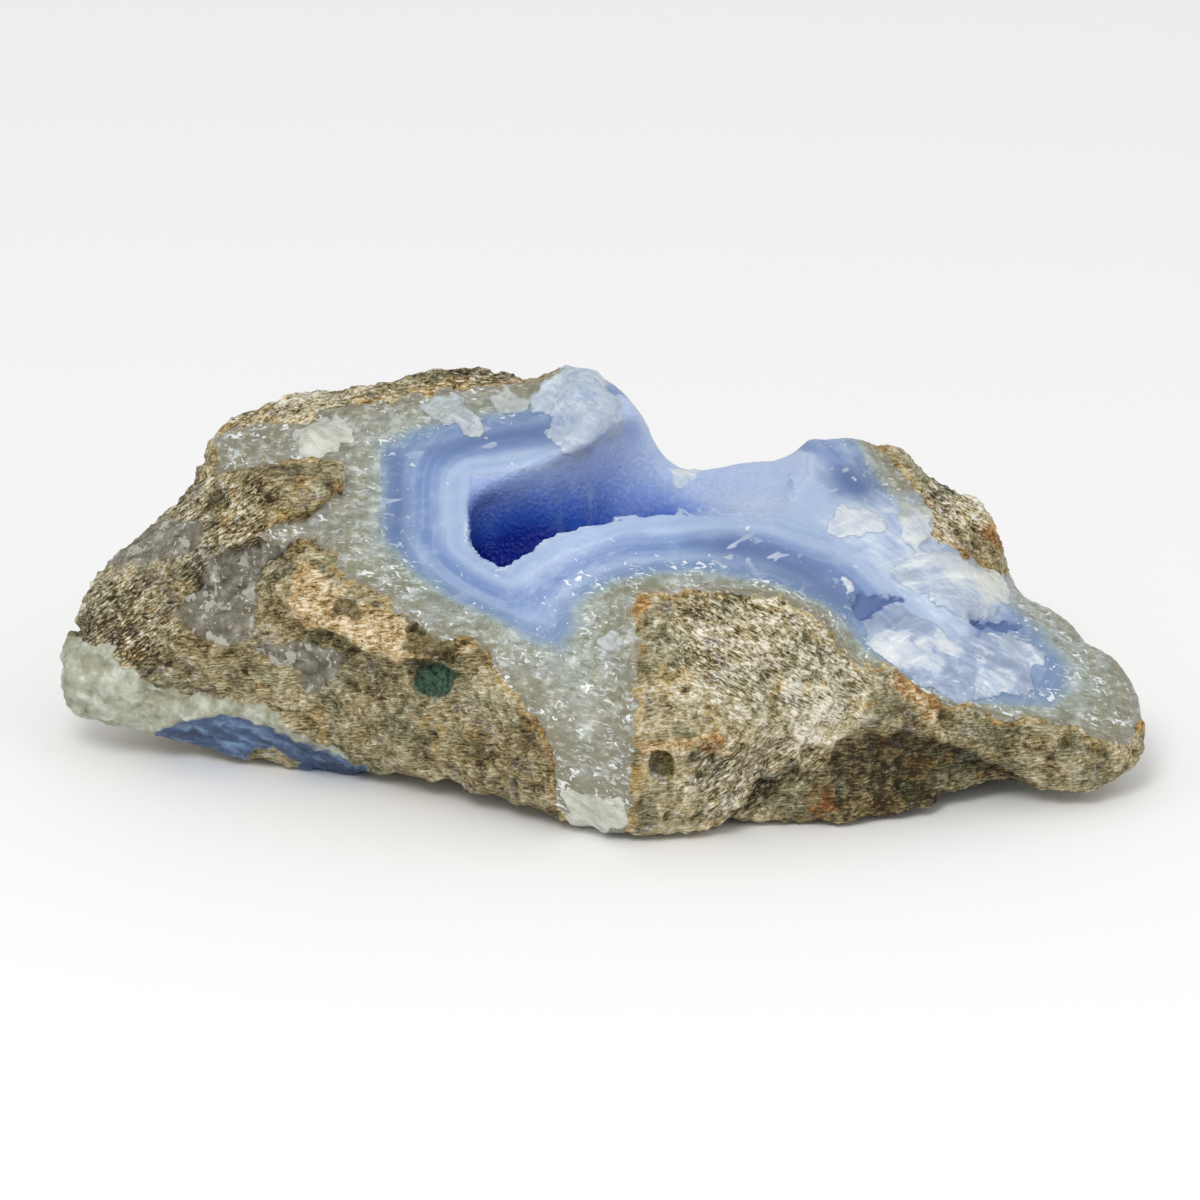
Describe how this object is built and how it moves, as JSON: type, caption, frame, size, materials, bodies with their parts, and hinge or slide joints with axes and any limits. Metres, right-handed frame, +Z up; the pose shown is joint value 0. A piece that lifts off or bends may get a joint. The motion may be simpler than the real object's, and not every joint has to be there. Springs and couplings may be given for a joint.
{
  "type": "blue lace agate geode",
  "caption": "Broken lump of rough rind rock around banded pale blue chalcedony, open on top to a hollow lined with small crystals.",
  "frame": {"origin": "centre of the stone's bounding box in X and Y, on the ground it rests on", "axes": "+X along the stone's length to the right of the broken side, +Y away from the broken side, +Z up"},
  "size_m": [0.109, 0.0538, 0.0385],
  "materials": {
    "agate_stone": "rough rind, waxy where it is broken",
    "quartz_druse": "fine sparkling crystals"
  },
  "bodies": {
    "root": {"geode_stone": "agate_stone", "druse_crust": "quartz_druse"}
  },
  "joints": []
}
